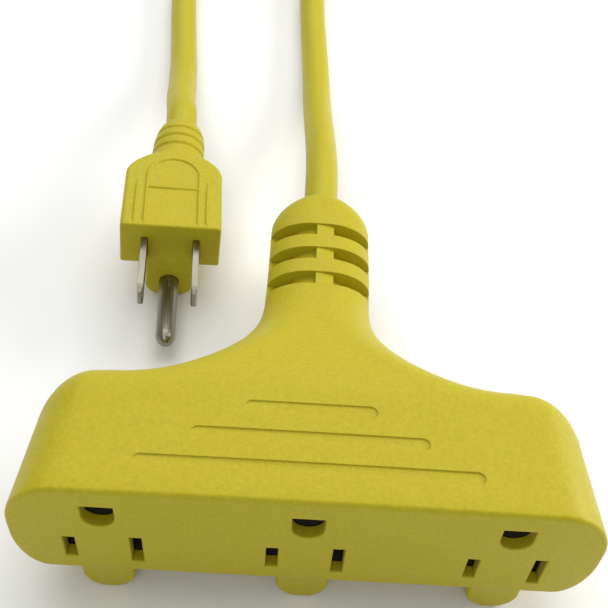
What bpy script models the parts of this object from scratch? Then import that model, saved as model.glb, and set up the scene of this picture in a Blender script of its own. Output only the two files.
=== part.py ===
"""Three-outlet extension cord: an overmoulded outlet block, its cord in a tied hank, and the plug.

Lengths here are millimetres, and metres(...) turns them into Blender's metres at the last moment.
The block's three outlets face -Y, its cord leaves along +Y, and the block stands on Z = 0.
The origin is at the middle of the block's footprint.
"""

import math

import bmesh
import bpy
from mathutils import Euler, Matrix, Vector

GAP = 0.3  # between pieces that touch on the real object

# Outlet block
BLOCK_LENGTH = 101.0
BLOCK_HALF_WIDTH = 56.0
SIDE_TAPER = 0.085  # how fast the ends close in towards the rear
BODY_BOTTOM = 7.6
BODY_TOP = 36.0
ARM_DEPTH = 31.0
TOP_EDGE_RADIUS = 7.5  # long edges of the body
BOTTOM_EDGE_RADIUS = 6.5
END_RISE = 12.3  # the two ends are rounded this far up and down
END_REACH = 10.4  # and their tops this far in
CORNER_RADIUS = 11.5  # rear corners, seen from above
FACE_ROUND = 0.9  # round between the outlet face and the sides
CROWN = 0.6  # how much the top bulges
NECK_HALF_WIDTH = 12.2
NECK_HALF_HEIGHT = 7.3
NECK_Z = 19.0
NECK_FLAT = 1.5  # half-width of the neck's flat top
FLARE_END = 62.0  # where the shoulders have become the neck
DOME_START = 87.0
DOME_END = 97.5
NECK_LEAN = 1.0  # the flexible neck sets a little to one side
CORD_EXIT_RADIUS = 5.2
FRONT_Y = -BLOCK_LENGTH / 2

# Outlets
OUTLET_SPACING = 38.5
SLOT_Z = 16.0
SLOT_OFFSET = 6.35  # half the distance between the two blades
SLOT_WIDTH = 2.3
HOT_SLOT_HEIGHT = 7.2
NEUTRAL_SLOT_HEIGHT = 9.0
GROUND_ABOVE_SLOTS = 11.3
GROUND_HOLE_RADIUS = 3.05
GROUND_HOLE_TOP = 3.6  # flat top above the arc's centre
OUTLET_X = [k * OUTLET_SPACING for k in (-1, 0, 1)]

# Ribs that the block stands on, one under each outlet
RIB_RADIUS = 5.2
RIB_CENTRE_Z = 5.0
RIB_TOP = 12.0  # inside the body
RIB_TAIL_Z = 9.2  # the rear end's underside
RIB_LENGTH = 27.0
RIB_SETBACK = 0.05  # of its front end from the outlet face

# Recessed grip bars on top of the block: distance behind the outlet face, half-length
GRIP_BARS = [(7.2, 32.2), (13.9, 22.4), (20.5, 12.7)]
GRIP_BAR_WIDTH = 2.7
GRIP_BAR_DEPTH = 0.45
GRIP_BAR_X = -0.5

# Windows in the neck's strain relief
WINDOW_STARTS = [63.8, 72.0, 80.2]
WINDOW_LENGTH = 3.9
WINDOW_FLOOR = (7.4, 5.25)  # half-width and half-height of the core under the windows
TOP_SPINE = 2.1
SPINE_DROP = 0.4  # of the spine below the rings that cross it
WINDOW_TWIST = -9.0  # degrees round the neck
SIDE_SPINE = 1.7
LEFT_SPINE_SHIFT = -2.4  # the left side spine sets lower than the right one

# Hollow inside the block
SKIN = 2.5
CAVITY_HALF_WIDTH = 48.5
CAVITY_BOTTOM = 9.9
CAVITY_TOP = 33.2
CAVITY_REAR = 26.4
CARRIER_REAR = 17.2
BUS_THICKNESS = 0.8
HOT_BUS_Z = (12.7, 14.9)
NEUTRAL_BUS_Z = (17.7, 19.9)
GROUND_BUS_Z = (24.6, 29.0)
CRIMP_RADIUS = 1.9
CRIMP_LENGTH = 3.9
CRIMP_X = {"hot": -3.5, "neutral": 3.5, "ground": 0.0}
CRIMP_Z = {"hot": 13.8, "neutral": 18.8, "ground": 25.9}
CONDUCTOR_RADIUS = 1.6
FUNNEL_RADIUS = 9.4
JACKET_IN_BLOCK = 37.0  # where the outer jacket ends inside the neck

# Cord
CORD_DIAMETER = 8.6
CORD_RADIUS = CORD_DIAMETER / 2
BORE_RADIUS = CORD_RADIUS + GAP

# Plug
PLUG_AT = (-36.06, 30.96)
PLUG_YAW = 4.7
PLUG_PITCH = 0.8
PLUG_ROLL = 4.1
PLUG_HALF_WIDTH = 12.3
PLUG_TOP = 7.4
PLUG_BOTTOM = -5.3
PLUG_EDGE = 1.1
PLUG_LOW_EDGE = 0.45  # the lower edges are this much sharper
PLUG_STRAIGHT = 20.5
PLUG_SHOULDER_END = 31.0
PLUG_LENGTH = 46.5
COLLAR_Z = 1.0
COLLAR_HALF_WIDTH = 7.0
COLLAR_HALF_HEIGHT = 6.2
COLLAR_DOME_START = 37.0
COLLAR_DOME_DEPTH = 10.0
COLLAR_LEAN = 0.9  # the collar sets a little to one side
RIDGE_PITCH = 3.8
RIDGE_DEPTH = 0.5
BOSS_HALF_WIDTH = 5.9
BOSS_BOTTOM = -16.5
BOSS_CORNER = 3.0
BLADE_THICKNESS = 1.5
BLADE_HEIGHT = 6.35
BLADE_LENGTH = 17.5
BLADE_HOLE_RADIUS = 1.6
BLADE_HOLE_AT = 12.0
GROUND_PIN_Z = -11.9
GROUND_PIN_RADIUS = 2.38
GROUND_PIN_LENGTH = 21.4
PIN_GROOVE_WIDTH = 1.0
PIN_GROOVE_DEPTH = 1.5
BRIDGE_FRONT = 2.3
BRIDGE_REAR = 9.0
BLADE_REAR = 11.0

# Tied hank that holds the length of cord not laid out
HANK_NEAR_CENTRE = (0.0, 278.0)
HANK_HALF_RUN = 72.5  # from the middle of the hank to the centre of an end loop
HANK_LOOP_RADIUS = 27.0  # centreline of the innermost turn
HANK_WAIST = 4.8
TURN_PITCH = 8.8
HANK_COLUMNS = 3
HANK_ROWS = 5
ROW_PITCH = 8.75
HANK_BOTTOM = 1.8
TIE_THICKNESS = 1.2
TIE_WIDTH = 22.0
TIE_SLACK = 1.2

COLOURS = {
    "yellow_pvc": ((0.62, 0.55, 0.04), 0.5, 0.0),
    "ivory_nylon": ((0.62, 0.60, 0.52), 0.45, 0.0),
    "dark_nylon": ((0.05, 0.05, 0.05), 0.5, 0.0),
    "brass": ((0.78, 0.60, 0.25), 0.3, 1.0),
    "nickel": ((0.68, 0.66, 0.62), 0.22, 1.0),
    "black_insulation": ((0.02, 0.02, 0.02), 0.45, 0.0),
    "white_insulation": ((0.8, 0.8, 0.78), 0.45, 0.0),
    "green_insulation": ((0.03, 0.3, 0.08), 0.45, 0.0),
    "black_webbing": ((0.03, 0.03, 0.03), 0.8, 0.0),
}


def metres(point):
    return Vector(point) * 0.001


def clear_scene():
    for thing in list(bpy.data.objects):
        bpy.data.objects.remove(thing)


def material(slot):
    made = bpy.data.materials.get(slot)
    if made:
        return made
    colour, roughness, metallic = COLOURS[slot]
    made = bpy.data.materials.new(slot)
    made.use_nodes = True
    shader = made.node_tree.nodes["Principled BSDF"]
    shader.inputs["Base Color"].default_value = (*colour, 1.0)
    shader.inputs["Roughness"].default_value = roughness
    shader.inputs["Metallic"].default_value = metallic
    return made


def new_object(name, points, faces, slot=None):
    mesh = bpy.data.meshes.new(name)
    mesh.from_pydata([metres(p) for p in points], [], faces)
    mesh.validate()
    shape = bmesh.new()
    shape.from_mesh(mesh)
    bmesh.ops.recalc_face_normals(shape, faces=shape.faces)
    shape.to_mesh(mesh)
    shape.free()
    thing = bpy.data.objects.new(name, mesh)
    bpy.context.scene.collection.objects.link(thing)
    if slot:
        mesh.materials.append(material(slot))
        mesh.shade_smooth()
        mesh.set_sharp_from_angle(angle=math.radians(35))
    else:
        thing.hide_render = True
        thing.display_type = "WIRE"
    return thing


def combine(thing, operation, cutter):
    step = thing.modifiers.new(cutter.name, "BOOLEAN")
    step.operation = operation
    step.solver = "EXACT"
    step.object = cutter


def cut(thing, cutter):
    combine(thing, "DIFFERENCE", cutter)


def join_solids(solids):
    """Point and face lists of several closed solids as one pair of lists."""
    points, faces = [], []
    for some_points, some_faces in solids:
        first = len(points)
        points += some_points
        faces += [tuple(first + k for k in face) for face in some_faces]
    return points, faces


def box(x, y, z):
    """A box from its lowest and highest x, y and z."""
    points = [(x[i], y[j], z[k]) for i in (0, 1) for j in (0, 1) for k in (0, 1)]
    faces = [(0, 1, 3, 2), (4, 6, 7, 5), (0, 4, 5, 1), (2, 3, 7, 6), (0, 2, 6, 4), (1, 5, 7, 3)]
    return points, faces


def loft(loops):
    """A closed solid through loops of points that all have the same length."""
    count = len(loops[0])
    points = [p for loop in loops for p in loop]
    faces = [tuple(range(count)), tuple(reversed(range(len(points) - count, len(points))))]
    for row in range(len(loops) - 1):
        for k in range(count):
            after = (k + 1) % count
            a, b = row * count, (row + 1) * count
            faces.append((a + k, b + k, b + after, a + after))
    return points, faces


def prism_along_y(outline, start, end):
    """An (x, z) outline pushed along y."""
    return loft([[(x, y, z) for x, z in outline] for y in (start, end)])


def prism_up(outline, bottom, top):
    """An (x, y) outline pushed along z."""
    return loft([[(x, y, z) for x, y in outline] for z in (bottom, top)])


def arc(centre, radius, start, end, steps):
    """Points on an arc, from one angle to another in degrees."""
    turns = [math.radians(start + (end - start) * k / steps) for k in range(steps + 1)]
    return [(centre[0] + radius * math.cos(t), centre[1] + radius * math.sin(t)) for t in turns]


def turned_along_y(profile, x, z, sides=24):
    """A solid of revolution about a line along y, from (y, radius) pairs."""
    turns = [2 * math.pi * k / sides for k in range(sides)]
    return loft([[(x + r * math.cos(t), y, z + r * math.sin(t)) for t in turns] for y, r in profile])


def smooth_step(value, start, end):
    t = min(1.0, max(0.0, (value - start) / (end - start)))
    return t * t * (3 - 2 * t)


def bezier(points, steps):
    """Points and unit outward normals along one cubic, for a curve that runs with its inside on the left."""
    a, b, c, d = (Vector(p) for p in points)
    found = []
    for k in range(1, steps + 1):
        t = k / steps
        s = 1 - t
        at = a * s**3 + b * 3 * s * s * t + c * 3 * s * t * t + d * t**3
        along = ((b - a) * s * s + (c - b) * 2 * s * t + (d - c) * t * t).normalized()
        found.append((at, Vector((along.y, -along.x))))
    return found


# ---- outlet block ----


def block_outline():
    """Stations along the right-hand outline: (x, y), outward normal, inset of the outlet face's round."""
    stations = []
    for k in range(4):
        angle = math.radians(90 * k / 3)
        inset = FACE_ROUND * (1 - math.sin(angle))
        y = FACE_ROUND * (1 - math.cos(angle))
        stations.append((Vector((BLOCK_HALF_WIDTH - SIDE_TAPER * y, y)), Vector((1, 0)), inset))
    corner_y = ARM_DEPTH - CORNER_RADIUS
    corner_x = BLOCK_HALF_WIDTH - SIDE_TAPER * corner_y - CORNER_RADIUS
    for k in range(5):
        angle = math.radians(90 * k / 4)
        normal = Vector((math.cos(angle), math.sin(angle)))
        stations.append((Vector((corner_x, corner_y)) + normal * CORNER_RADIUS, normal, 0.0))
    shoulder = [(40.0, 31.2), (22.0, 31.2), (NECK_HALF_WIDTH + 0.4, 44.0), (NECK_HALF_WIDTH, FLARE_END)]
    stations.append((Vector(shoulder[0]), Vector((0, 1)), 0.0))
    stations += [(at, normal, 0.0) for at, normal in bezier(shoulder, 9)]
    stations.append((Vector((NECK_HALF_WIDTH, DOME_START)), Vector((1, 0)), 0.0))
    dome_depth = (DOME_END - DOME_START) / math.sqrt(1 - (CORD_EXIT_RADIUS / NECK_HALF_WIDTH) ** 2)
    last = math.asin((DOME_END - DOME_START) / dome_depth)
    for k in range(1, 7):
        angle = last * k / 6
        at = Vector((NECK_HALF_WIDTH * math.cos(angle), DOME_START + dome_depth * math.sin(angle)))
        stations.append((at, Vector((1, 0)), 0.0))
    return stations


def crown_at(x):
    """How much higher the crowned top is at this x than at the block's two ends."""
    return CROWN * (1 - (x / BLOCK_HALF_WIDTH) ** 2)


def block_loop(at, normal, inset, columns=6, steps=5):
    """The block's cross-section at one station, anticlockwise seen from the outlet face."""
    neck = smooth_step(at.y, ARM_DEPTH + 2, FLARE_END)
    end = normal.x**2 if at.y < ARM_DEPTH else 0.0
    over_edge = TOP_EDGE_RADIUS + (END_REACH - TOP_EDGE_RADIUS) * end
    height = smooth_step(at.y - normal.y * over_edge, 24.0, FLARE_END + 2)
    dome = max(0.0, (NECK_HALF_WIDTH - at.x) / (NECK_HALF_WIDTH - CORD_EXIT_RADIUS)) if at.y > DOME_START else 0.0
    half_height = NECK_HALF_HEIGHT + (CORD_EXIT_RADIUS - NECK_HALF_HEIGHT) * dome
    top = BODY_TOP + (NECK_Z + half_height - BODY_TOP) * height - inset
    bottom = BODY_BOTTOM + (NECK_Z - half_height - BODY_BOTTOM) * height + inset
    flat = NECK_FLAT * (1 - dome) + 0.3 * dome
    edge = Vector((at.x - inset, at.y))
    lean = NECK_LEAN * smooth_step(at.y, 35.0, 75.0)
    waist = (top + bottom) / 2
    crowning = (1 - neck) * (1 - inset / FACE_ROUND)

    def quarter(radius, deep, middle, way):
        reach = deep + (at.x - flat - deep) * neck - inset
        tall = radius + (END_RISE - radius) * end
        rise = min(tall + (half_height - tall) * neck - inset, (top - bottom) / 2 - 0.05)
        found = []
        for k in range(steps + 1):
            angle = math.pi / 2 * k / steps
            spot = edge - normal * reach * (1 - math.cos(angle))
            found.append((spot.x, spot.y + FRONT_Y, middle + way * rise * (math.sin(angle) - 1)))
        return found

    def raised(x, y, z):
        share = max(0.0, (z - waist) / (top - waist))
        return x + lean, y, z + crown_at(x) * crowning * share

    lower = quarter(BOTTOM_EDGE_RADIUS, BOTTOM_EDGE_RADIUS, bottom, -1)
    right = list(reversed(lower)) + quarter(TOP_EDGE_RADIUS, over_edge, top, 1)
    x, y, z = right[-1]
    across = [x * (1 - 2 * k / columns) for k in range(1, columns)]
    over = [(s, y, z) for s in across]
    under = [(-s, right[0][1], right[0][2]) for s in across]
    left = [(-p[0], p[1], p[2]) for p in reversed(right)]
    return [raised(*p) for p in right + over + left + under]


def rib(x):
    """A half-round rib with a narrow flat to stand on, tapering up at its rear end."""
    half_flat = math.degrees(math.acos(RIB_CENTRE_Z / RIB_RADIUS))
    lower = arc((0.0, RIB_CENTRE_Z), RIB_RADIUS, -90 + half_flat, 0, 5)
    upper = [(RIB_RADIUS, RIB_TOP), (-RIB_RADIUS, RIB_TOP)]
    mirrored = [(-a, b) for a, b in reversed(lower)]
    outline = lower + upper + mirrored
    shrunk = [(a * 0.5, max(b, RIB_TAIL_Z)) for a, b in outline]
    slim = [(a * (1 - FACE_ROUND / RIB_RADIUS / 2), max(b, FACE_ROUND / 2)) for a, b in outline]
    sections = [(slim, RIB_SETBACK), (outline, RIB_SETBACK + FACE_ROUND / 2)]
    sections += [(outline, RIB_LENGTH - 5), (shrunk, RIB_LENGTH + 1)]
    return loft([[(x + a, y + FRONT_Y, b) for a, b in section] for section, y in sections])


def ground_hole(x, start, end, grow=0.0):
    """The U-shaped ground hole: round below, flat on top."""
    centre = SLOT_Z + GROUND_ABOVE_SLOTS
    radius = GROUND_HOLE_RADIUS + grow
    top = centre + GROUND_HOLE_TOP + grow
    outline = [(x + a, b) for a, b in arc((0.0, centre), radius, 180, 360, 10)]
    outline += [(x + radius, top), (x - radius, top)]
    return prism_along_y(outline, FRONT_Y + start, FRONT_Y + end)


def slot(x, height, start, end, grow=0.0):
    half = SLOT_WIDTH / 2 + grow
    tall = height / 2 + grow
    return box((x - half, x + half), (FRONT_Y + start, FRONT_Y + end), (SLOT_Z - tall, SLOT_Z + tall))


def outlet_openings(start, end, grow=0.0):
    openings = []
    for x in OUTLET_X:
        openings.append(slot(x - SLOT_OFFSET, HOT_SLOT_HEIGHT, start, end, grow))
        openings.append(slot(x + SLOT_OFFSET, NEUTRAL_SLOT_HEIGHT, start, end, grow))
        openings.append(ground_hole(x, start, end, grow))
    return join_solids(openings)


def grip_bar(y, half_length):
    radius = GRIP_BAR_WIDTH / 2
    right = arc((half_length - radius, y), radius, -90, 90, 6)
    left = arc((radius - half_length, y), radius, 90, 270, 6)
    rear = [(k * half_length / 6, y + radius) for k in range(4, -5, -1)]
    front = [(-a, y - radius) for a, _ in rear]
    outline = right + rear + left + front
    floor = [(a + GRIP_BAR_X, b + FRONT_Y, BODY_TOP - GRIP_BAR_DEPTH + crown_at(a)) for a, b in outline]
    return loft([floor, [(a, b, BODY_TOP + 3) for a, b, _ in floor]])


def window(start, side, way):
    """One of the four pockets in a row of the strain relief: side is +-1 in x, way is +-1 in z."""
    wide, tall = WINDOW_FLOOR
    outer_wide, outer_tall = NECK_HALF_WIDTH + 2, NECK_HALF_HEIGHT + 2
    stop = SIDE_SPINE + (way * LEFT_SPINE_SHIFT if side < 0 else 0.0)

    def bow(a, b):
        first = (TOP_SPINE, b * math.sqrt(1 - (TOP_SPINE / a) ** 2))
        last = (a * math.sqrt(1 - (stop / b) ** 2), stop)
        turn_from, turn_to = math.atan2(first[1] / b, first[0] / a), math.atan2(last[1] / b, last[0] / a)
        turns = [turn_from + (turn_to - turn_from) * k / 6 for k in range(7)]
        return [(a * math.cos(t), b * math.sin(t)) for t in turns]

    outline = bow(wide, tall) + list(reversed(bow(outer_wide, outer_tall)))
    twist = math.radians(WINDOW_TWIST)
    turned = []
    for a, b in outline:
        x, z = side * a, way * b
        turned.append((x * math.cos(twist) - z * math.sin(twist), x * math.sin(twist) + z * math.cos(twist)))
    outline = [(x + NECK_LEAN, NECK_Z + z) for x, z in turned]
    return prism_along_y(outline, FRONT_Y + start, FRONT_Y + start + WINDOW_LENGTH)


def spine_recess(start, way):
    """Lets the rings stand a little proud of the spine, above (way 1) or below (way -1) the neck."""
    inner = (NECK_HALF_WIDTH - SPINE_DROP, NECK_HALF_HEIGHT - SPINE_DROP)
    outer = (NECK_HALF_WIDTH + 2, NECK_HALF_HEIGHT + 2)
    reach = TOP_SPINE + 0.5
    twist = math.radians(WINDOW_TWIST)
    outline = []
    for (a, b), way_round in ((inner, 1), (outer, -1)):
        for k in range(-2, 3):
            x = way_round * reach * k / 2
            z = way * b * math.sqrt(1 - (x / a) ** 2)
            turned = (x * math.cos(twist) - z * math.sin(twist), x * math.sin(twist) + z * math.cos(twist))
            outline.append((turned[0] + NECK_LEAN, turned[1] + NECK_Z))
    return prism_along_y(outline, FRONT_Y + start, FRONT_Y + start + WINDOW_LENGTH)


def block_overmould():
    body = new_object("block_overmould", *loft([block_loop(*s) for s in block_outline()]), "yellow_pvc")
    for k, x in enumerate(OUTLET_X):
        combine(body, "UNION", new_object(f"cut_rib_{k + 1}", *rib(x)))
    hollow_x = (-CAVITY_HALF_WIDTH, CAVITY_HALF_WIDTH)
    hollow = box(hollow_x, (FRONT_Y + SKIN, FRONT_Y + CAVITY_REAR), (CAVITY_BOTTOM, CAVITY_TOP))
    cut(body, new_object("cut_hollow", *hollow))
    bore = [(CAVITY_REAR - 1, FUNNEL_RADIUS), (CAVITY_REAR + 0.5, FUNNEL_RADIUS), (40.0, BORE_RADIUS)]
    bore.append((BLOCK_LENGTH + 2, BORE_RADIUS))
    bore = [(y + FRONT_Y, r) for y, r in bore]
    cut(body, new_object("cut_bore", *turned_along_y(bore, NECK_LEAN, NECK_Z)))
    cut(body, new_object("cut_outlets", *outlet_openings(-1.0, SKIN + 1)))
    cut(body, new_object("cut_grip_bars", *join_solids([grip_bar(*bar) for bar in GRIP_BARS])))
    pockets = [window(start, side, way) for start in WINDOW_STARTS for side in (1, -1) for way in (1, -1)]
    cut(body, new_object("cut_windows", *join_solids(pockets)))
    recesses = [spine_recess(start, way) for start in WINDOW_STARTS for way in (1, -1)]
    cut(body, new_object("cut_spine", *join_solids(recesses)))


def contact_carrier():
    """The insert that holds the contacts, open at the rear, with the outlets' slots in its front wall."""
    half = CAVITY_HALF_WIDTH - GAP
    depth = (FRONT_Y + SKIN + GAP, FRONT_Y + CARRIER_REAR)
    height = (CAVITY_BOTTOM + GAP, CAVITY_TOP - GAP)
    carrier = new_object("contact_carrier", *box((-half, half), depth, height), "ivory_nylon")
    cut(carrier, new_object("cut_carrier_slots", *outlet_openings(SKIN, SKIN + 3.5, 0.1)))
    chambers = []
    rear = (FRONT_Y + SKIN + 2.5, FRONT_Y + CARRIER_REAR + 1)
    for x in OUTLET_X:
        chambers.append(box((x - SLOT_OFFSET - 2.1, x - SLOT_OFFSET + 2.1), rear, (12.3, 19.7)))
        chambers.append(box((x + SLOT_OFFSET - 2.1, x + SLOT_OFFSET + 2.1), rear, (11.4, 20.6)))
        chambers.append(box((x - 3.7, x + 3.7), rear, (23.9, 31.9)))
    cut(carrier, new_object("cut_carrier_chambers", *join_solids(chambers)))


def carrier_cover():
    """A tray that closes the carrier from behind, over the bus strips, with a mouth for the conductors."""
    half = CAVITY_HALF_WIDTH - GAP
    depth = (FRONT_Y + CARRIER_REAR + GAP, FRONT_Y + CAVITY_REAR - GAP)
    height = (CAVITY_BOTTOM + GAP, CAVITY_TOP - GAP)
    cover = new_object("carrier_cover", *box((-half, half), depth, height), "ivory_nylon")
    inside = box((1.5 - half, half - 1.5), (depth[0] - 1, depth[1] - 1.5), (height[0] + 1.2, height[1] - 1.2))
    cut(cover, new_object("cut_cover_inside", *inside))
    mouth = box((-6.5, 6.5), (depth[1] - 3, depth[1] + 1), (12.0, 30.5))
    cut(cover, new_object("cut_cover_mouth", *mouth))


def blade_contact(name, x, half_height, tab):
    """Two spring leaves joined by a web at the rear, whose tab meets the bus strip."""
    leaf, inner = 0.7, 0.85
    outline = [(inner, 0), (inner, 9.6), (-inner, 9.6), (-inner, 0), (-inner - leaf, 0)]
    outline += [(-inner - leaf, 10.6), (inner + leaf, 10.6), (inner + leaf, 0)]
    start = FRONT_Y + SKIN + 2.9
    outline = [(x + a, start + b) for a, b in outline]
    clip = new_object(name, *prism_up(outline, SLOT_Z - half_height, SLOT_Z + half_height), "brass")
    rear = FRONT_Y + CARRIER_REAR
    stem = box((x - 1.2, x + 1.2), (start + 10.2, rear), (tab[0] + 0.1, tab[1] - 0.1))
    combine(clip, "UNION", new_object(f"cut_{name}_tab", *stem))


def ground_contact(name, x):
    """A split spring sleeve around the ground pin, with a tab to the ground bus."""
    centre = 27.9
    outer, inner = 3.2, 2.55
    outline = arc((0.0, centre), outer, -65, 245, 16) + list(reversed(arc((0.0, centre), inner, -65, 245, 16)))
    start = FRONT_Y + SKIN + 2.9
    sleeve = prism_along_y([(x + a, b) for a, b in outline], start, start + 9.5)
    clip = new_object(name, *sleeve, "brass")
    rear = FRONT_Y + CARRIER_REAR
    lug = box((x - 1.4, x + 1.4), (start + 9.0, rear), (centre + inner + 0.05, centre + outer - 0.05))
    combine(clip, "UNION", new_object(f"cut_{name}_lug", *lug))
    foot = box((x - 1.4, x + 1.4), (rear - 1.0, rear - 0.02), (GROUND_BUS_Z[0], centre + outer - 0.1))
    combine(clip, "UNION", new_object(f"cut_{name}_foot", *foot))


def bus(name, first, last, height):
    front = FRONT_Y + CARRIER_REAR + GAP
    new_object(name, *box((first, last), (front, front + BUS_THICKNESS), height), "brass")


def block_contacts():
    for k, x in enumerate(OUTLET_X):
        blade_contact(f"hot_contact_{k + 1}", x - SLOT_OFFSET, 3.3, HOT_BUS_Z)
        blade_contact(f"neutral_contact_{k + 1}", x + SLOT_OFFSET, 4.1, NEUTRAL_BUS_Z)
        ground_contact(f"ground_contact_{k + 1}", x)
    edge = 1.5
    bus("hot_bus", OUTLET_X[0] - SLOT_OFFSET - edge, OUTLET_X[2] - SLOT_OFFSET + edge, HOT_BUS_Z)
    bus("neutral_bus", OUTLET_X[0] + SLOT_OFFSET - edge, OUTLET_X[2] + SLOT_OFFSET + edge, NEUTRAL_BUS_Z)
    bus("ground_bus", OUTLET_X[0] - edge, OUTLET_X[2] + edge, GROUND_BUS_Z)


def crimp(name, x, y, z, slot):
    """A barrel with a slightly waisted middle, where the tool has squeezed it."""
    waist = CRIMP_RADIUS * 0.82
    ring = [(0.0, CRIMP_RADIUS), (0.9, CRIMP_RADIUS), (1.4, waist), (2.5, waist)]
    ring += [(3.0, CRIMP_RADIUS), (CRIMP_LENGTH, CRIMP_RADIUS)]
    return new_object(name, *turned_along_y([(y + a, r) for a, r in ring], x, z, 12), slot)


def smooth_route(points, spacing):
    """Evenly spaced points on a Catmull-Rom curve through the given points."""
    knots = [Vector(p) for p in points]
    knots = [2 * knots[0] - knots[1]] + knots + [2 * knots[-1] - knots[-2]]
    fine = []
    for a, b, c, d in zip(knots, knots[1:], knots[2:], knots[3:]):
        for k in range(20):
            t = k / 20
            bend = (2 * a - 5 * b + 4 * c - d) * t * t + (3 * b - a - 3 * c + d) * t**3
            fine.append((2 * b + (c - a) * t + bend) / 2)
    fine.append(knots[-2])
    along = [0.0]
    for a, b in zip(fine, fine[1:]):
        along.append(along[-1] + (b - a).length)
    count = max(3, round(along[-1] / spacing))
    route, k = [], 0
    for step in range(count + 1):
        wanted = along[-1] * step / count
        while k < len(fine) - 2 and along[k + 1] < wanted:
            k += 1
        share = (wanted - along[k]) / (along[k + 1] - along[k])
        route.append(fine[k].lerp(fine[k + 1], min(1.0, share)))
    return route


def tube(name, points, radius, slot, spacing, resolution=2):
    """A filled round tube along a smooth route, as a curve object."""
    curve = bpy.data.curves.new(name, "CURVE")
    curve.dimensions = "3D"
    curve.bevel_depth = radius * 0.001
    curve.bevel_resolution = resolution
    curve.use_fill_caps = True
    route = smooth_route(points, spacing)
    line = curve.splines.new("POLY")
    line.points.add(len(route) - 1)
    for knot, at in zip(line.points, route):
        knot.co = (*metres(at), 1.0)
    thing = bpy.data.objects.new(name, curve)
    bpy.context.scene.collection.objects.link(thing)
    curve.materials.append(material(slot))
    return thing


INSULATION = {"hot": "black_insulation", "neutral": "white_insulation", "ground": "green_insulation"}
# Where each conductor lies in the jacket, from the cord's axis
LAID = {"hot": (-1.95, -1.1), "neutral": (1.95, -1.1), "ground": (0.0, 2.2)}


def block_wiring():
    crimp_y = FRONT_Y + CARRIER_REAR + 2 * GAP + BUS_THICKNESS
    for pole, slot in INSULATION.items():
        x, z = CRIMP_X[pole], CRIMP_Z[pole]
        crimp(f"{pole}_crimp_block", x, crimp_y, z, "brass")
        side, up = LAID[pole]
        start = crimp_y + CRIMP_LENGTH + GAP
        end = FRONT_Y + JACKET_IN_BLOCK - 2 * GAP
        side += NECK_LEAN
        middle = ((x + side) / 2, (start + end) / 2, (z + NECK_Z + up) / 2)
        points = [(x, start, z), (x, start + 2.0, z), middle]
        points += [(side, end - 2.0, NECK_Z + up), (side, end, NECK_Z + up)]
        tube(f"{pole}_conductor_block", points, CONDUCTOR_RADIUS, slot, 1.6)
    jacket = [(FRONT_Y + JACKET_IN_BLOCK, CORD_RADIUS), (FRONT_Y + BLOCK_LENGTH, CORD_RADIUS)]
    new_object("cord_jacket_in_block", *turned_along_y(jacket, NECK_LEAN, NECK_Z, 20), "yellow_pvc")


# ---- plug, in a frame of its own: blades point to -Y, the origin is midway between them on the face ----


def collar_x(y):
    return COLLAR_LEAN * smooth_step(y, PLUG_STRAIGHT, PLUG_LENGTH)


def leaning_tube(start, end, radius, sides):
    """A round solid along the collar's own line."""
    turns = [2 * math.pi * k / sides for k in range(sides)]
    rings = []
    for step in range(9):
        y = start + (end - start) * step / 8
        x = collar_x(y)
        rings.append([(x + radius * math.cos(t), y, COLLAR_Z + radius * math.sin(t)) for t in turns])
    return loft(rings)


def plug_section(y, half_width, bottom, top, edge_x, edge_z, low=1.0, steps=4):
    """A rounded rectangle at one distance behind the plug's face; low scales its lower corners."""
    outline = []
    for side, way, first in [(1, 1, 0), (-1, 1, 90), (-1, -1, 180), (1, -1, 270)]:
        size = 1.0 if way > 0 else low
        cx = side * (half_width - edge_x * size)
        cz = top - edge_z if way > 0 else bottom + edge_z * size
        for k in range(steps + 1):
            angle = math.radians(first + 90 * k / steps)
            x = cx + edge_x * size * math.cos(angle) + collar_x(y)
            outline.append((x, y, cz + edge_z * size * math.sin(angle)))
    return outline


def plug_sections():
    edges = (PLUG_EDGE, PLUG_EDGE, PLUG_LOW_EDGE)
    sections = [plug_section(0.0, PLUG_HALF_WIDTH - 0.5, PLUG_BOTTOM + 0.5, PLUG_TOP - 0.5, *edges)]
    for y in (0.5, PLUG_STRAIGHT * 0.5):
        sections.append(plug_section(y, PLUG_HALF_WIDTH, PLUG_BOTTOM, PLUG_TOP, *edges))
    for k in range(9):
        t = k / 8
        y = PLUG_STRAIGHT + (PLUG_SHOULDER_END - PLUG_STRAIGHT) * t
        half_width = PLUG_HALF_WIDTH + (COLLAR_HALF_WIDTH - PLUG_HALF_WIDTH) * t**1.7
        share = t**2.5
        bottom = PLUG_BOTTOM + (COLLAR_Z - COLLAR_HALF_HEIGHT - PLUG_BOTTOM) * share
        top = PLUG_TOP + (COLLAR_Z + COLLAR_HALF_HEIGHT - PLUG_TOP) * share
        edge_x = PLUG_EDGE + (half_width - 0.3 - PLUG_EDGE) * share
        edge_z = PLUG_EDGE + ((top - bottom) / 2 - 0.1 - PLUG_EDGE) * share
        low = PLUG_LOW_EDGE + (1 - PLUG_LOW_EDGE) * share
        sections.append(plug_section(y, half_width, bottom, top, edge_x, edge_z, low))
    y = PLUG_SHOULDER_END + 3.0
    while y < PLUG_LENGTH - RIDGE_PITCH:
        for step, dip in ((-0.9, 0.0), (0.0, RIDGE_DEPTH), (0.9, 0.0)):
            sections.append(collar_section(y + step, dip))
        y += RIDGE_PITCH
    sections.append(collar_section(PLUG_LENGTH, 0.0))
    return sections


def collar_section(y, dip):
    share = 1 - math.sqrt(1 - (max(0.0, y - COLLAR_DOME_START) / COLLAR_DOME_DEPTH) ** 2)
    wide = COLLAR_HALF_WIDTH - 2.8 * share - dip
    tall = COLLAR_HALF_HEIGHT - 2.0 * share - dip
    return plug_section(y, wide, COLLAR_Z - tall, COLLAR_Z + tall, wide - 0.1, tall - 0.1)


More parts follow.
